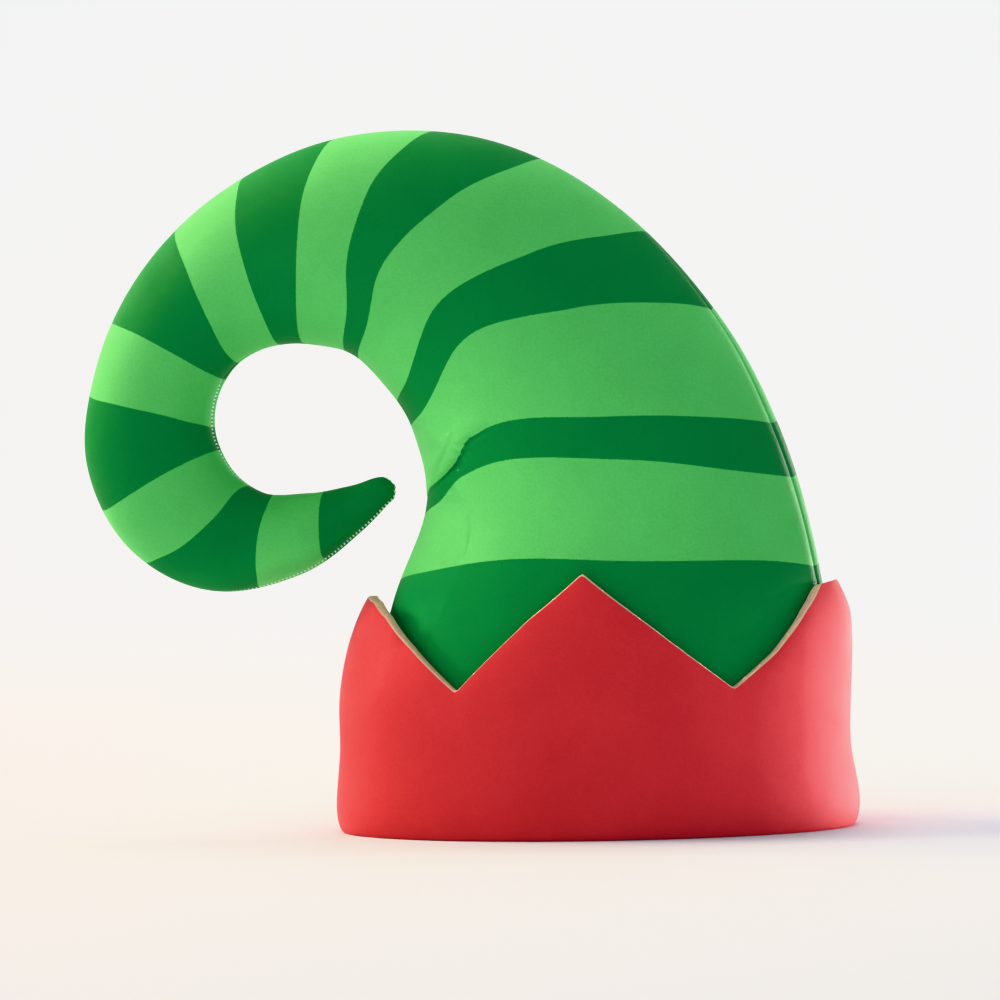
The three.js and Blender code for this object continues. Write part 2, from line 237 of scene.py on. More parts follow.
# How far each point of the cloth lies from the nearest edge of a stripe: light is positive, dark negative.
panel_outer = crown_point(FRONT, panel_rows, panel_across)
along = np.concatenate([np.zeros((1, panel_across.shape[1])),
                        np.cumsum(np.linalg.norm(np.diff(panel_outer, axis=0), axis=-1), axis=0)])
row_length = np.gradient(along, axis=0) / np.gradient(panel_rows, axis=0)
from_edges = panel_rows[..., None] - stripe_rows
light_side = (from_edges > 0).sum(-1) % 2 == 1
stripe_distance = np.abs(from_edges).min(-1) * row_length * np.where(light_side, 1, -1)
cloth_u = (panel_across - 0.5) * panel_girth
cloth_v = along


def shell(name, outer, inner):
    """A closed sheet: an outer and an inner grid of points, in millimetres, joined all round the edges."""
    rings, places = outer.shape[:2]
    count = rings * places
    index = np.arange(count).reshape(rings, places)

    def quads(grid):
        return np.stack([grid[:-1, :-1], grid[:-1, 1:], grid[1:, 1:], grid[1:, :-1]], -1).reshape(-1, 4)

    edges = [index[0], index[-1], index[:, 0], index[:, -1]]
    parts = [quads(index), quads(index + count)[:, ::-1]]
    parts.append(np.concatenate([quads(np.stack([edge, edge + count])) for edge in edges]))
    mesh = bpy.data.meshes.new(name)
    points = np.concatenate([outer.reshape(-1, 3), inner.reshape(-1, 3)]) * MM
    mesh.from_pydata(points.tolist(), [], np.concatenate(parts).tolist())
    mesh.polygons.foreach_set("material_index", np.repeat(range(3), [len(part) for part in parts]))
    return mesh


def finish_mesh(mesh, cloth, sharp=60):
    """Turns the faces outwards, shades them smooth and gives them the cloth's own u and v, in metres."""
    form = bmesh.new()
    form.from_mesh(mesh)
    bmesh.ops.recalc_face_normals(form, faces=form.faces)
    form.to_mesh(mesh)
    form.free()
    corners = np.empty(len(mesh.loops), int)
    mesh.loops.foreach_get("vertex_index", corners)
    layer = mesh.uv_layers.new(name="cloth")
    layer.data.foreach_set("uv", (cloth[corners] * MM).ravel())
    mesh.polygons.foreach_set("use_smooth", np.ones(len(mesh.polygons), bool))
    mesh.set_sharp_from_angle(angle=math.radians(sharp))
    mesh.update()


def put(tree, kind, inputs=None, output=0, **settings):
    """Adds a node, sets or links its inputs, and gives back one of its outputs."""
    made = tree.nodes.new(kind)
    for name, value in settings.items():
        setattr(made, name, value)
    for key, value in (inputs or {}).items():
        if isinstance(value, bpy.types.NodeSocket):
            tree.links.new(value, made.inputs[key])
        else:
            made.inputs[key].default_value = value
    return made.outputs[output]


def sums(tree, operation, first, second=0.0, third=0.0):
    return put(tree, "ShaderNodeMath", {0: first, 1: second, 2: third}, operation=operation)


def mixed(tree, share, first, second, blend="MIX"):
    inputs = {"Fac": share, "Color1": first, "Color2": second}
    return put(tree, "ShaderNodeMixRGB", inputs, blend_type=blend)


def spread(tree, value, low, high, to_low, to_high):
    levels = {"Value": value, "From Min": low, "From Max": high, "To Min": to_low, "To Max": to_high}
    return put(tree, "ShaderNodeMapRange", levels, interpolation_type="SMOOTHSTEP")


def grain(tree, place, scale, detail=3.0, roughness=0.55):
    levels = {"Vector": place, "Scale": scale, "Detail": detail, "Roughness": roughness}
    return put(tree, "ShaderNodeTexNoise", levels)


# The size of one stitch of the knit, in metres.
WALE, COURSE = 0.00062, 0.0005


def knit_height(tree):
    """Rows of small interlocking V stitches, by the cloth's own u and v."""
    place = put(tree, "ShaderNodeUVMap", uv_map="cloth")
    u = put(tree, "ShaderNodeSeparateXYZ", {0: place}, 0)
    v = put(tree, "ShaderNodeSeparateXYZ", {0: place}, 1)
    leg = sums(tree, "DIVIDE", sums(tree, "PINGPONG", u, WALE / 2), WALE / 2)
    turn = sums(tree, "MULTIPLY_ADD", v, 2 * math.pi / COURSE, sums(tree, "MULTIPLY", leg, -math.pi))
    loop = sums(tree, "MULTIPLY_ADD", sums(tree, "SINE", turn), 0.5, 0.5)
    return sums(tree, "MULTIPLY", loop, sums(tree, "MULTIPLY_ADD", leg, 0.65, 0.35))


def bonded_cloth(name, specular=0.1, sheen=0.045, tint=(1, 1, 1)):
    """A knit face on foam: the material, its tree, its shader and the place that its grain goes by."""
    material = bpy.data.materials.new(name)
    material.use_nodes = True
    tree = material.node_tree
    shader = tree.nodes["Principled BSDF"]
    shader.inputs["Specular IOR Level"].default_value = specular
    shader.inputs["Sheen Weight"].default_value = sheen
    shader.inputs["Sheen Roughness"].default_value = 0.45
    shader.inputs["Sheen Tint"].default_value = (*tint, 1)
    return material, tree, shader, put(tree, "ShaderNodeTexCoord", output="Object")


def knit_finish(tree, shader, colour, place, knit_depth=0.00009):
    """Lets a plain colour vary as dyed knit does, and gives it the small unevenness of knit and foam."""
    cloudy = grain(tree, place, 28, 4)
    flecks = grain(tree, place, 900, 2)
    dye = spread(tree, cloudy, 0.3, 0.7, 0.965, 1.03)
    shade = sums(tree, "ADD", dye, spread(tree, flecks, 0.3, 0.7, -0.035, 0.035))
    varied = mixed(tree, 1.0, colour, shade, "MULTIPLY")
    tree.links.new(varied, shader.inputs["Base Color"])
    tree.links.new(spread(tree, cloudy, 0.25, 0.75, 0.72, 0.58), shader.inputs["Roughness"])
    foam = {"Height": grain(tree, place, 95, 3), "Strength": 0.5, "Distance": 0.0005}
    foam_bump = put(tree, "ShaderNodeBump", foam)
    knit = {"Height": knit_height(tree), "Strength": 0.6, "Distance": knit_depth, "Normal": foam_bump}
    tree.links.new(put(tree, "ShaderNodeBump", knit), shader.inputs["Normal"])


LIGHT_GREEN = (0.110, 0.535, 0.150, 1)
DARK_GREEN = (0.004, 0.192, 0.042, 1)

striped_cloth, tree, shader, place = bonded_cloth("striped_cloth", tint=(1.0, 0.98, 0.85))
printed = put(tree, "ShaderNodeAttribute", output="Fac", attribute_name="stripe_distance")
bleed = sums(tree, "MULTIPLY_ADD", grain(tree, place, 1100, 2), 0.0005, -0.00025)
edge = spread(tree, sums(tree, "ADD", printed, bleed), -0.0002, 0.0002, 0.0, 1.0)
knit_finish(tree, shader, mixed(tree, edge, DARK_GREEN, LIGHT_GREEN), place)

# The thin cream backing on the inside of the foam, and the bare foam that shows where the sheet is cut:
# its cells, darkened in their pits with painted shade, with a pale line of backing on one side and a
# reddish line of glue and knit on the other.
CREAM = (0.66, 0.55, 0.42, 1)
SHADED_FOAM_PIT, FOAM_FACE = (0.50, 0.33, 0.21, 1), (0.76, 0.58, 0.42, 1)
BACKING_LINE, KNIT_LINE = (0.86, 0.73, 0.58, 1), (0.76, 0.52, 0.41, 1)
BACKING_KNIT_DEPTH = 0.00012

backing_cloth, tree, shader, place = bonded_cloth("backing_cloth")
knit_finish(tree, shader, CREAM, place, BACKING_KNIT_DEPTH)

foam_edge, tree, shader, place = bonded_cloth("foam_edge", sheen=0.0)
ply = put(tree, "ShaderNodeAttribute", output="Fac", attribute_name="ply")
cells = put(tree, "ShaderNodeTexVoronoi", {"Vector": place, "Scale": 1500.0})
wander = sums(tree, "MULTIPLY_ADD", grain(tree, place, 160, 2), 0.12, -0.06)
layer = sums(tree, "ADD", ply, wander)
# painted shade: the foam is darker in the pits of its cells, where the bump sinks
body = mixed(tree, spread(tree, cells, 0.0, 0.8, 0.0, 1.0), SHADED_FOAM_PIT, FOAM_FACE)
inside_edge = spread(tree, layer, 0.74, 0.88, 0.0, 1.0)
outside_edge = spread(tree, layer, 0.10, 0.20, 1.0, 0.0)
body = mixed(tree, inside_edge, body, BACKING_LINE)
body = mixed(tree, outside_edge, body, KNIT_LINE)
tree.links.new(body, shader.inputs["Base Color"])
shader.inputs["Roughness"].default_value = 0.9
pits = {"Height": cells, "Strength": 0.7, "Distance": 0.0003}
tree.links.new(put(tree, "ShaderNodeBump", pits), shader.inputs["Normal"])


def crown_panel(name, side):
    outer = crown_point(side, panel_rows, panel_across)
    inner = crown_point(side, panel_rows, panel_across, FOAM)
    mesh = shell(name, outer, inner)
    places = np.stack([cloth_u.ravel(), cloth_v.ravel()], -1)
    finish_mesh(mesh, np.concatenate([places, places]))
    printed = np.concatenate([stripe_distance.ravel(), stripe_distance.ravel()]) * MM
    mesh.attributes.new("stripe_distance", "FLOAT", "POINT").data.foreach_set("value", printed)
    mesh.attributes.new("ply", "FLOAT", "POINT").data.foreach_set("value", np.full(len(printed), 0.5))
    for material in (striped_cloth, backing_cloth, foam_edge):
        mesh.materials.append(material)
    panel = bpy.data.objects.new(name, mesh)
    bpy.context.scene.collection.objects.link(panel)
    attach(panel, "root")
    return panel


front_panel = crown_panel("crown_front_cloth", FRONT)
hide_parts("crown_front")

# The crown's back panel: the mirror image of the front one in the same printed knit and foam.
# Its stripes meet those of the front at both seams, where the two edges roll in against each other.

back_panel = crown_panel("crown_back_cloth", BACK)
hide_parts("crown_back")

# The crown's seam thread: pale green polyester that closes both seams from rim to tip.
# It lies deep in the groove of the wide part, and on the curl and the tail, where the seam is strained, its
# stitches show as rungs from one edge to the other.

MINT = (0.62, 0.88, 0.74, 1)
THREAD = 0.95
STITCH_PITCH = 1.9
LAST_STITCH_ROW = 19.75
SHOWING_FROM, SHOWING_TO = 11.2, 12.0

# reach, shoulder: how far a rung's end and its bend lie from the seam; height: of the bend above the cloth
RUNGS = {
    "columns": ("reach", "shoulder", "height"),
    "sunk": (1.0, 0.5, -0.8),
    "showing": (1.6, 0.9, 0.25),
}
RUNG_DIVE = 0.45
RUNG_SHARE = 0.3


def stitch_points(seam, row, side, distance, height):
    """Points beside a seam of the crown, at a distance from it on one panel and a height off the cloth."""
    on_seam = crown_point(FRONT, row, np.full(row.shape, seam))
    outward = on_seam - np.stack([crown_section(row)[0], on_seam[:, 1], crown_section(row)[1]], -1)
    outward /= np.linalg.norm(outward, axis=-1, keepdims=True)
    share = np.minimum(distance / crown_girth(row), RUNG_SHARE)
    return crown_point(side, row, np.abs(seam - share)) + height[:, None] * outward


def crown_stitches(seam):
    """Rungs from one panel to the other over a seam: 0 is the outer one, 1 the inner one."""
    fine_rows = np.linspace(0, LAST_STITCH_ROW, 4000)
    line = crown_point(FRONT, fine_rows, np.full(fine_rows.shape, seam))
    length = np.concatenate([[0], np.cumsum(np.linalg.norm(np.diff(line, axis=0), axis=-1))])
    row = np.interp(np.linspace(0, length[-1], int(length[-1] / STITCH_PITCH)), length, fine_rows)
    showing = np.clip((row - SHOWING_FROM) / (SHOWING_TO - SHOWING_FROM), 0, 1)
    sunk_rung, shown_rung = rows_of(RUNGS)
    reach, shoulder, height = sunk_rung[:, None] + (shown_rung - sunk_rung)[:, None] * showing
    front_end = stitch_points(seam, row, FRONT, reach, height - RUNG_DIVE)
    front_shoulder = stitch_points(seam, row, FRONT, shoulder, height)
    back_shoulder = stitch_points(seam, row, BACK, shoulder, height)
    back_end = stitch_points(seam, row, BACK, reach, height - RUNG_DIVE)
    middle = (front_shoulder + back_shoulder) / 2
    paths = np.stack([front_end, front_shoulder, middle, back_shoulder, back_end], 1)
    beside = np.gradient(middle, axis=0)[:, None, :]
    return paths, np.broadcast_to(beside, paths.shape)


def thread_mesh(name, paths, beside, sides=6):
    """Closed tubes along paths of equal length, in millimetres; beside: any way that leaves the path."""
    ahead = np.gradient(paths, axis=1)
    ahead /= np.linalg.norm(ahead, axis=-1, keepdims=True)
    over = np.cross(ahead, beside)
    over /= np.linalg.norm(over, axis=-1, keepdims=True)
    out = np.cross(over, ahead)
    turn = np.linspace(0, 2 * math.pi, sides, endpoint=False)[:, None]
    rim = over[:, :, None, :] * np.cos(turn) + out[:, :, None, :] * np.sin(turn)
    points = paths[:, :, None, :] + THREAD / 2 * rim
    index = np.arange(points[..., 0].size).reshape(points.shape[:3])
    beyond = np.roll(index, -1, axis=2)
    walls = np.stack([index[:, :-1], beyond[:, :-1], beyond[:, 1:], index[:, 1:]], -1).reshape(-1, 4)
    ends = np.concatenate([index[:, 0, ::-1], index[:, -1]])
    mesh = bpy.data.meshes.new(name)
    mesh.from_pydata((points.reshape(-1, 3) * MM).tolist(), [], walls.tolist() + ends.tolist())
    steps = np.linalg.norm(np.diff(paths, axis=1), axis=-1)
    along = np.concatenate([np.zeros((len(paths), 1)), np.cumsum(steps, axis=1)], axis=1)
    along = np.broadcast_to(along[:, :, None], index.shape)
    around = np.broadcast_to(turn[:, 0] * THREAD / 2, index.shape)
    finish_mesh(mesh, np.stack([along.ravel(), around.ravel()], -1))
    return mesh


def spun_thread(name, colour, twist=0.0006):
    """Two-ply thread: the plies wind round it as slanting ridges, with painted shade in the grooves."""
    material, tree, shader, place = bonded_cloth(name, specular=0.35)
    wound = put(tree, "ShaderNodeUVMap", uv_map="cloth")
    u = put(tree, "ShaderNodeSeparateXYZ", {0: wound}, 0)
    v = put(tree, "ShaderNodeSeparateXYZ", {0: wound}, 1)
    turn = sums(tree, "MULTIPLY", sums(tree, "ADD", u, v), 2 * math.pi / twist)
    ridge = sums(tree, "MULTIPLY_ADD", sums(tree, "SINE", turn), 0.5, 0.5)
    fuzz = spread(tree, grain(tree, place, 2500, 2), 0.3, 0.7, -0.08, 0.08)
    # painted shade: the colour is darker in the grooves between the plies; the fuzz is random tone
    shade = sums(tree, "ADD", spread(tree, ridge, 0.0, 1.0, 0.78, 1.1), fuzz)
    tree.links.new(mixed(tree, 1.0, colour, shade, "MULTIPLY"), shader.inputs["Base Color"])
    shader.inputs["Roughness"].default_value = 0.55
    wind = {"Height": ridge, "Strength": 0.6, "Distance": 0.00006}
    tree.links.new(put(tree, "ShaderNodeBump", wind), shader.inputs["Normal"])
    return material


def sewn_piece(name, mesh, material):
    mesh.materials.append(material)
    piece = bpy.data.objects.new(name, mesh)
    bpy.context.scene.collection.objects.link(piece)
    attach(piece, "root")


green_thread = spun_thread("green_thread", MINT)
rungs, beside = (np.concatenate(part) for part in zip(crown_stitches(0), crown_stitches(1)))
crown_thread = thread_mesh("crown_seam_thread", rungs, beside)
sewn_piece("crown_seam_thread", crown_thread, green_thread)

# The cuff: one strip of red knit on foam, cut in five points along the top and sewn into a ring behind.
# Its lower edge is turned in under the crown's rim and sewn to it, so the hem is a soft roll.
# The cut along the points is left raw and shows the foam between the knit and the backing.

# Outer face by height: middle in x, half width and half depth.
CUFF_SECTIONS = {
    "columns": ("height", "x", "width", "depth"),
    "floor": (0, 0, 127, 66),
    "hem": (13, 0, 127, 66),
    "low": (40, -0.8, 124, 66),
    "notches": (66, -0.3, 124.1, 66),
    "above_notches": (80, 1.1, 123.4, 65.8),
    "points": (92, 2.7, 122, 65.6),
    "shoulders": (104, 4.5, 119.5, 65.2),
    "end_tips": (116, 5.4, 114.8, 64.8),
    "front_tip": (127, 6, 110, 64.4),
}

# The cut edge: share of the girth from the seam at the back past the left end and the front, and height.
CUFF_CUT = {
    "columns": ("place", "height"),
    "seam_notch": (0, 71),
    "back_left_point": (0.085, 120),
    "left_notch": (0.17, 71),
    "left_point": (0.255, 114.6),
    "left_shoulder": (0.284, 112.2),
    "left_slope": (0.31, 105.2),
    "left_slope_low": (0.345, 91.3),
    "front_left_notch": (0.391, 70.6),
    "front_shoulder": (0.441, 104.6),
    "front_point": (0.483, 126.4),
    "front_right_notch": (0.614, 70.2),
    "right_slope_low": (0.648, 86.3),
    "right_slope": (0.678, 105.5),
    "right_point": (0.706, 118.2),
    "right_point_end": (0.739, 119.2),
    "right_notch": (0.83, 71),
    "back_right_point": (0.915, 120),
    "seam_notch_again": (1, 71),
}

# The hem: the slot that takes the crown's rim and its floor, the round outside, the flat that it stands on,
# and the lip that is turned in.
HEM_SLOT, HEM_FLOOR = 1.0, 5.0
HEM_ROUND, HEM_RISE = 3.5, 13.0
FLAT_START, FLAT_END, FLAT_STEPS = 0.9, 3.5, 4
LIP_ROUND, LIP_RISE, LIP_FACE, LIP_TOP, LIP_CORNER = 2.0, 5.0, 6.0, 10.0, 0.5

# Steps round the girth, closer at the seam, which draws the cloth in.
CUFF_STEP, SEAM_STATIONS = 1.5, (0.4, 1.0, 2.0, 3.4)
CUFF_PINCH, CUFF_PINCH_REACH = 1.7, 2.0

# The raw cut: the foam springs open there, stands a little above the knit and is rounded on both sides.
# into: share of the thickness from the knit to the backing; above: the edge of the knit.
CUT_EDGE = {
    "columns": ("into", "above"),
    "knit": (0.0, 0.0),
    "outer_round": (0.06, 0.3),
    "outer_top": (0.16, 0.5),
    "foam_outer": (0.34, 0.65),
    "foam_inner": (0.7, 0.65),
    "inner_round": (0.92, 0.4),
    "backing": (1.0, -0.3),
}
CUT_FOAM = 5.2
CUT_ROUNDING = 1.1
CUT_ROLL, CUT_ROLL_REACH = 0.7, 5.5

# On top of the right point the knit was drawn over the foam, which lies below its edge there.
COVERED_FROM, COVERED_TO, COVERED_EASE, COVERED_SINK = 0.696, 0.748, 0.01, 1.2

cuff_rows = rows_of(CUFF_SECTIONS)
cuff_slopes = np.gradient(cuff_rows, cuff_rows[:, 0], axis=0)


def cuff_section(height):
    """Middle, half width and half depth at a height, on a smooth curve through the table."""
    low = np.clip(np.searchsorted(cuff_rows[:, 0], height, "right") - 1, 0, len(cuff_rows) - 2)
    span = cuff_rows[low + 1, 0] - cuff_rows[low, 0]
    share = ((height - cuff_rows[low, 0]) / span)[..., None]
    start, end = cuff_rows[low], cuff_rows[low + 1]
    rise_start, rise_end = cuff_slopes[low] * span[..., None], cuff_slopes[low + 1] * span[..., None]
    bend = rise_start + rise_end - 2 * (end - start)
    value = start + share * (rise_start + share * (end - start - rise_start - bend * (1 - share)))
    return value[..., 1], value[..., 2], value[..., 3]


turn_steps = np.linspace(0, 2 * math.pi, 4001) + math.pi / 2
hem_width, hem_depth = cuff_rows[0, 2:]
hem_oval = np.stack([hem_width * np.cos(turn_steps), hem_depth * np.sin(turn_steps)], -1)
hem_length = np.concatenate([[0], np.cumsum(np.linalg.norm(np.diff(hem_oval, axis=0), axis=-1))])
CUFF_GIRTH = hem_length[-1]


def cuff_point(place, inset, height):
    """A point of the cuff in millimetres. inset: from its outer face inwards."""
    angle = np.interp(place % 1.0, hem_length / CUFF_GIRTH, turn_steps)
    x, width, depth = cuff_section(height)
    out_x, out_y = np.cos(angle) / width, np.sin(angle) / depth
    length = np.hypot(out_x, out_y)
    to_seam = np.minimum(place % 1.0, 1 - place % 1.0) * CUFF_GIRTH
    drawn = inset + CUFF_PINCH * np.exp(-to_seam / CUFF_PINCH_REACH)
    return np.stack([
        x + width * np.cos(angle) - drawn * out_x / length,
        depth * np.sin(angle) - drawn * out_y / length,
        height + 0 * angle,
    ], -1)


# Stations round the girth: every point and notch of the cut is one, and some crowd at the seam.
cut = rows_of(CUFF_CUT)
cut_edge = rows_of(CUT_EDGE)
stations = [step / CUFF_GIRTH for step in SEAM_STATIONS] + [1 - step / CUFF_GIRTH for step in SEAM_STATIONS]
for start, end in zip(cut[:-1, 0], cut[1:, 0]):
    steps = max(2, round((end - start) * CUFF_GIRTH / CUFF_STEP))
    stations.extend(np.linspace(start, end, steps, endpoint=False))
stations = np.array(sorted(stations))
rounding = np.linspace(-CUT_ROUNDING, CUT_ROUNDING, 9) / CUFF_GIRTH
cut_height = np.interp((stations[:, None] + rounding) % 1, cut[:, 0], cut[:, 1]).mean(axis=1)
covered = np.minimum(stations - COVERED_FROM, COVERED_TO - stations) / COVERED_EASE
covered = np.clip(covered, 0, 1)[:, None]
foam_above = cut_edge[:, 1] - covered * (np.maximum(cut_edge[:, 1], 0) + COVERED_SINK * cut_edge[:, 0])

# The section under each station, from the cut edge down the outer face, round the hem and up the inside.
WALL_STEPS, WALL_CROWDING, ARC_STEPS, LIP_STEPS = 46, 1.4, 9, 4
wall = np.linspace(0, 1, WALL_STEPS + 1)
arc = np.linspace(0, math.pi / 2, ARC_STEPS + 1)[1:]
turned = FOAM + HEM_SLOT + FOAM
top = cut_height[:, None]
flat = np.zeros_like(top)
outer_wall = top + (HEM_RISE - top) * wall ** WALL_CROWDING
inner_wall = HEM_FLOOR + (top + foam_above[:, -1:] - HEM_FLOOR) * wall[::2]
cut_roll = CUT_ROLL * np.exp(-(top - outer_wall) / CUT_ROLL_REACH)
roll_at_cut = cut_roll[:, :1]
inner_face = FOAM + (CUT_FOAM + roll_at_cut - FOAM) * wall[::2]
lip_corners = np.array([LIP_CORNER, FOAM - LIP_CORNER, FOAM])
section = [
    (cut_roll, outer_wall),
    (flat + HEM_ROUND * (1 - np.cos(arc)), flat + HEM_RISE * (1 - np.sin(arc))),
    (flat + HEM_ROUND + np.linspace(FLAT_START, FLAT_END, FLAT_STEPS), flat + np.zeros(FLAT_STEPS)),
    (flat + turned - LIP_ROUND + LIP_ROUND * np.sin(arc), flat + LIP_RISE * (1 - np.cos(arc))),
    (flat + turned, flat + np.linspace(LIP_FACE, LIP_TOP - LIP_CORNER, LIP_STEPS)),
    (flat + turned - lip_corners, flat + LIP_TOP - np.array([0, 0, LIP_CORNER])),
    (flat + turned - FOAM, flat + np.linspace(LIP_TOP - 2 * LIP_CORNER, HEM_FLOOR, LIP_STEPS)),
    (inner_face, inner_wall),
    (roll_at_cut + CUT_FOAM * cut_edge[-2:0:-1, 0], top + foam_above[:, -2:0:-1]),
]
section = [np.broadcast_arrays(inset, height) for inset, height in section]
inset = np.concatenate([part[0] for part in section], axis=1)
height = np.concatenate([part[1] for part in section], axis=1)
part_ends = np.cumsum([part[0].shape[1] for part in section])
inside_start, cut_start = part_ends[-3], part_ends[-2] - 1
cuff_points = cuff_point(stations[:, None], inset, height)

count, corners = inset.shape
index = np.arange(count * corners).reshape(count, corners)
index = np.concatenate([index, index[:1]])
index = np.concatenate([index, index[:, :1]], axis=1)
faces = np.stack([index[:-1, :-1], index[:-1, 1:], index[1:, 1:], index[1:, :-1]], -1)
finish_of_corner = np.zeros(corners, int)
finish_of_corner[inside_start:cut_start] = 1
finish_of_corner[cut_start:] = 2
cuff_mesh = bpy.data.meshes.new("cuff_cloth")
cuff_mesh.from_pydata((cuff_points.reshape(-1, 3) * MM).tolist(), [], faces.reshape(-1, 4).tolist())
cuff_mesh.polygons.foreach_set("material_index", np.tile(finish_of_corner, count))
cuff_u = np.broadcast_to(stations[:, None] * CUFF_GIRTH, inset.shape)
finish_mesh(cuff_mesh, np.stack([cuff_u.ravel(), (height - inset).ravel()], -1))
ply_of_corner = np.clip((inset - roll_at_cut) / CUT_FOAM, 0, 1)
cuff_mesh.attributes.new("ply", "FLOAT", "POINT").data.foreach_set("value", ply_of_corner.ravel())

RED, RED_GLOSS, RED_TINT = (0.55, 0.052, 0.062, 1), 0.17, (1.0, 0.75, 0.75)
red_cloth, tree, shader, place = bonded_cloth("red_cloth", RED_GLOSS, tint=RED_TINT)
knit_finish(tree, shader, RED, place)
for material in (red_cloth, backing_cloth, foam_edge):
    cuff_mesh.materials.append(material)
cuff = bpy.data.objects.new("cuff_cloth", cuff_mesh)
bpy.context.scene.collection.objects.link(cuff)
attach(cuff, "root")
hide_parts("cuff")

# The cuff's seam thread: red polyester, a ladder of short stitches that closes the strip at the back.
# It runs in the groove of the seam from the hem to the notch above it.

DARK_RED = (0.33, 0.012, 0.018, 1)
ABOVE_HEM, BELOW_NOTCH = 2.0, 3.0

# offset: from the seam along the girth; inset: from the cuff's face inwards
CUFF_RUNG = {
    "columns": ("offset", "inset"),
    "left_end": (-1.9, 0.2),
    "left_bend": (-0.9, -0.2),
    "middle": (0, -0.85),
    "right_bend": (0.9, -0.2),
    "right_end": (1.9, 0.2),
}

seam_heights = np.arange(HEM_RISE + ABOVE_HEM, cut[0, 1] - BELOW_NOTCH, STITCH_PITCH)[:, None]
seam_offsets, seam_insets = rows_of(CUFF_RUNG).T
seam_places = seam_offsets / CUFF_GIRTH + 0 * seam_heights
rungs = cuff_point(seam_places, seam_insets, seam_heights + 0 * seam_offsets)
red_thread = spun_thread("red_thread", DARK_RED)
upright = np.broadcast_to((0.0, 0.0, 1.0), rungs.shape)
sewn_piece("cuff_seam_thread", thread_mesh("cuff_seam_thread", rungs, upright), red_thread)

# The hem's overlock thread: the same red polyester, laid in a zigzag round the inside of the hat.
# It holds the turned-in lip of the cuff to the rim of the crown.

ZIGZAGS = 96
HEM_STITCH_ROW, HEM_STITCH_LOW = 0.16, 6.2
zigzag = []
for side in (FRONT, BACK):
    across = (np.arange(ZIGZAGS) + 0.5) / ZIGZAGS
    on_crown = crown_point(side, np.full(ZIGZAGS, HEM_STITCH_ROW), across, FOAM + THREAD / 3)
    between = np.arange(ZIGZAGS + 1) / ZIGZAGS
    on_rim = crown_point(side, np.full(ZIGZAGS + 1, HEM_STITCH_ROW), between, FOAM)
    angle = np.arctan2(on_rim[:, 1] / hem_depth, on_rim[:, 0] / hem_width) % (2 * math.pi)
    angle = np.where(angle < math.pi / 2, angle + 2 * math.pi, angle)
    place_round = np.interp(angle, turn_steps, hem_length / CUFF_GIRTH)
    on_lip = cuff_point(place_round, turned + THREAD / 3, np.full(ZIGZAGS + 1, HEM_STITCH_LOW))
    points = np.empty((2 * ZIGZAGS + 1, 3))
    points[::2], points[1::2] = on_lip, on_crown
    zigzag.append(points)
zigzag = np.stack(zigzag)
radial = zigzag * (1, 1, 0)
sewn_piece("hem_thread", thread_mesh("hem_thread", zigzag, radial), red_thread)

# The floor and backdrop: one pale sheet of paper that runs up behind the hat in a wide curve.
# It is only the place where the hat is shown, and belongs to no piece of it.

PAPER, PAPER_ROUGHNESS = (0.63, 0.71, 0.80, 1), 0.9
FLOOR_NEAR, FLOOR_FAR, FLOOR_SIDE, SWEEP, BACK_TOP = -3.2, 1.6, 4.0, 1.2, 3.4
sweep_turn = np.linspace(0, math.pi / 2, 13)
line = [(FLOOR_NEAR, 0.0)]
line += [(FLOOR_FAR + SWEEP * math.sin(turn), SWEEP * (1 - math.cos(turn))) for turn in sweep_turn]
line.append((FLOOR_FAR + SWEEP, BACK_TOP))
paper_points = [(side, y, z) for y, z in line for side in (-FLOOR_SIDE, FLOOR_SIDE)]
paper_faces = [(2 * step, 2 * step + 1, 2 * step + 3, 2 * step + 2) for step in range(len(line) - 1)]
paper_mesh = bpy.data.meshes.new("floor_paper")
paper_mesh.from_pydata(paper_points, [], paper_faces)
paper_mesh.polygons.foreach_set("use_smooth", np.ones(len(paper_faces), bool))
pale_paper = bpy.data.materials.new("pale_paper")
pale_paper.use_nodes = True
pale_paper.node_tree.nodes["Principled BSDF"].inputs["Base Color"].default_value = PAPER
pale_paper.node_tree.nodes["Principled BSDF"].inputs["Roughness"].default_value = PAPER_ROUGHNESS
paper_mesh.materials.append(pale_paper)
floor_paper = bpy.data.objects.new("floor_paper", paper_mesh)
bpy.context.scene.collection.objects.link(floor_paper)

# The light: a large warm key from the left and above, a pale room all round and a lamp for the backdrop.
# Small lamps pick out the neck, the left point of the cuff and, from behind, the seams. A row of five more,
# weaker towards the front, lights the cuff's right side.

ROOM_STRENGTH = 0.69
scene = bpy.context.scene
scene.view_settings.view_transform = "Khronos PBR Neutral"
room = bpy.data.worlds.new("pale_room")
room.use_nodes = True
room.node_tree.nodes["Background"].inputs["Color"].default_value = (1.0, 1.0, 1.0, 1)
room.node_tree.nodes["Background"].inputs["Strength"].default_value = ROOM_STRENGTH
scene.world = room


# In metres, watts and degrees.
LAMPS = {
    "columns": ("place", "aim", "size", "watts", "colour", "spread"),
    "key_light": ((-1.60, 0.30, 1.25), (-0.05, 0, 0.17), 1.05, 80, (1.0, 0.71, 0.49), 180),
    "left_light": ((-1.05, -0.42, 0.80), (-0.06, -0.04, 0.175), 0.12, 0.026, (1.0, 0.80, 0.60), 8),
    "point_light": ((-1.10, -0.30, 0.04), (-0.107, -0.02, 0.104), 0.06, 0.011, (1.0, 0.76, 0.62), 4.5),
    "rim_light": ((0.62, 1.15, 0.12), (0.02, 0, 0.21), 0.25, 0.22, (1.0, 0.98, 0.90), 20),
    "backdrop_light": ((0, 0.7, 2.6), (0, 2.8, 0.7), 1.6, 60, (1.0, 0.86, 0.72), 180),
}


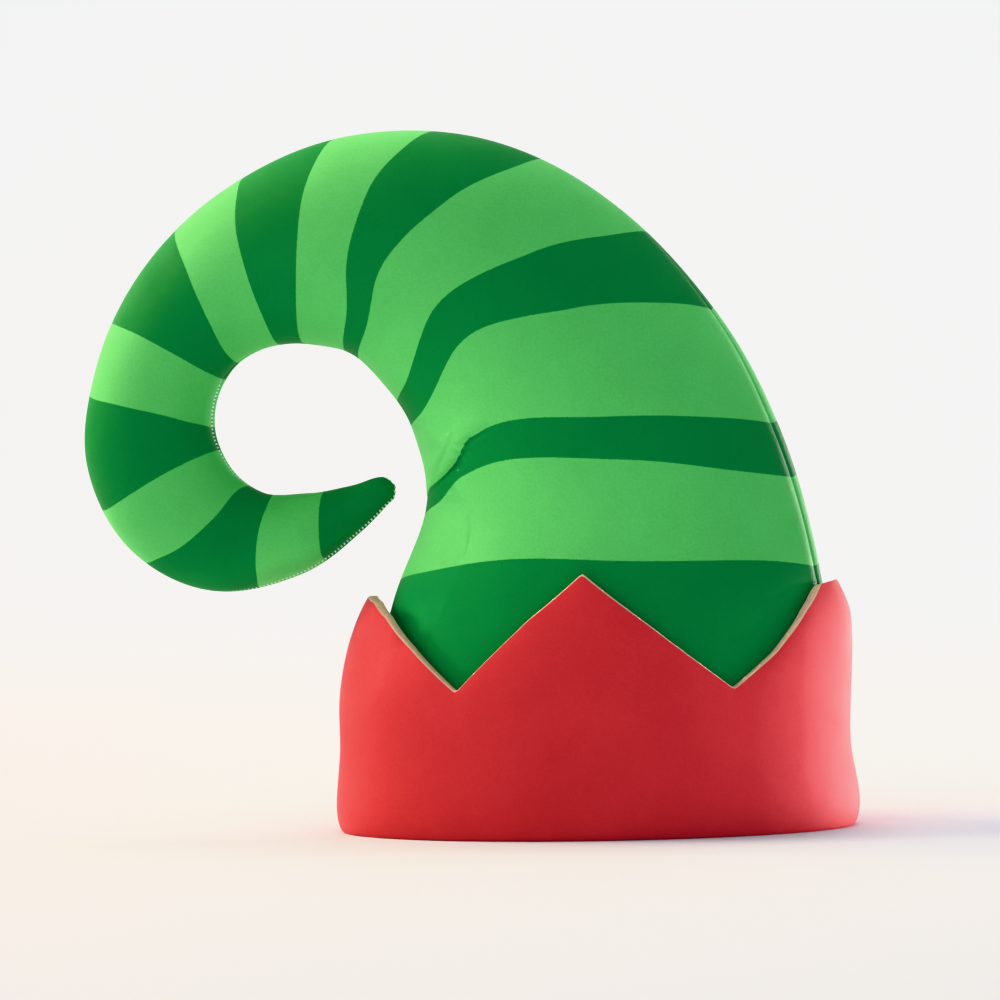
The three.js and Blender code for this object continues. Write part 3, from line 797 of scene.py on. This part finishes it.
def soft_light(name, place, aim, size, power, colour, spread):
    lamp = bpy.data.lights.new(name, "AREA")
    lamp.shape = "DISK"
    lamp.size = size
    lamp.energy = power
    lamp.color = colour
    lamp.spread = math.radians(spread)
    stand = bpy.data.objects.new(name, lamp)
    stand.location = place
    stand.rotation_euler = (Vector(aim) - Vector(place)).to_track_quat("-Z", "Y").to_euler()
    scene.collection.objects.link(stand)


for name, lamp in LAMPS.items():
    if name != "columns":
        soft_light(name, *lamp)

# behind: degrees towards the back from straight right; all stand one metre off
RIGHT_LAMPS = {
    "columns": ("behind", "watts"),
    "far_back": (36, 0.052),
    "back": (24, 0.042),
    "half_back": (12, 0.017),
    "side": (0, 0.008),
    "half_front": (-12, 0.005),
}
RIGHT_AIM, RIGHT_HEIGHT = (0.11, -0.01, 0.050), 0.052
RIGHT_SIZE, RIGHT_SPREAD, NEAR_WHITE = 0.12, 3, (1.0, 0.98, 0.98)
for behind, watts in rows_of(RIGHT_LAMPS):
    behind = math.radians(behind)
    place = (RIGHT_AIM[0] + math.cos(behind), RIGHT_AIM[1] + math.sin(behind), RIGHT_HEIGHT)
    soft_light("right_light", place, RIGHT_AIM, RIGHT_SIZE, watts, NEAR_WHITE, RIGHT_SPREAD)

# The camera: far off with a long lens, a little to the right of the front and a little above the hem,
# turned slightly about its own axis as in the photograph.

YAW, ELEVATION, ROLL = math.radians(3.0), math.radians(2.2), math.radians(1.2)
DISTANCE, FRAME_WIDTH, SENSOR = 2.5, 0.485, 36.0
aim = Vector((-0.0444, 0, 0.1601))
right = Vector((math.cos(YAW), math.sin(YAW), 0))
level = math.cos(ELEVATION)
backward = Vector((math.sin(YAW) * level, -math.cos(YAW) * level, math.sin(ELEVATION)))
up = backward.cross(right)
across_picture = right * math.cos(ROLL) - up * math.sin(ROLL)
up_picture = right * math.sin(ROLL) + up * math.cos(ROLL)
camera = bpy.data.cameras.new("camera")
camera.sensor_width = SENSOR
camera.lens = SENSOR * DISTANCE / FRAME_WIDTH
tripod = bpy.data.objects.new("camera", camera)
tripod.matrix_world = Matrix((
    (across_picture.x, up_picture.x, backward.x, aim.x + DISTANCE * backward.x),
    (across_picture.y, up_picture.y, backward.y, aim.y + DISTANCE * backward.y),
    (across_picture.z, up_picture.z, backward.z, aim.z + DISTANCE * backward.z),
    (0, 0, 0, 1),
))
scene.collection.objects.link(tripod)
scene.camera = tripod
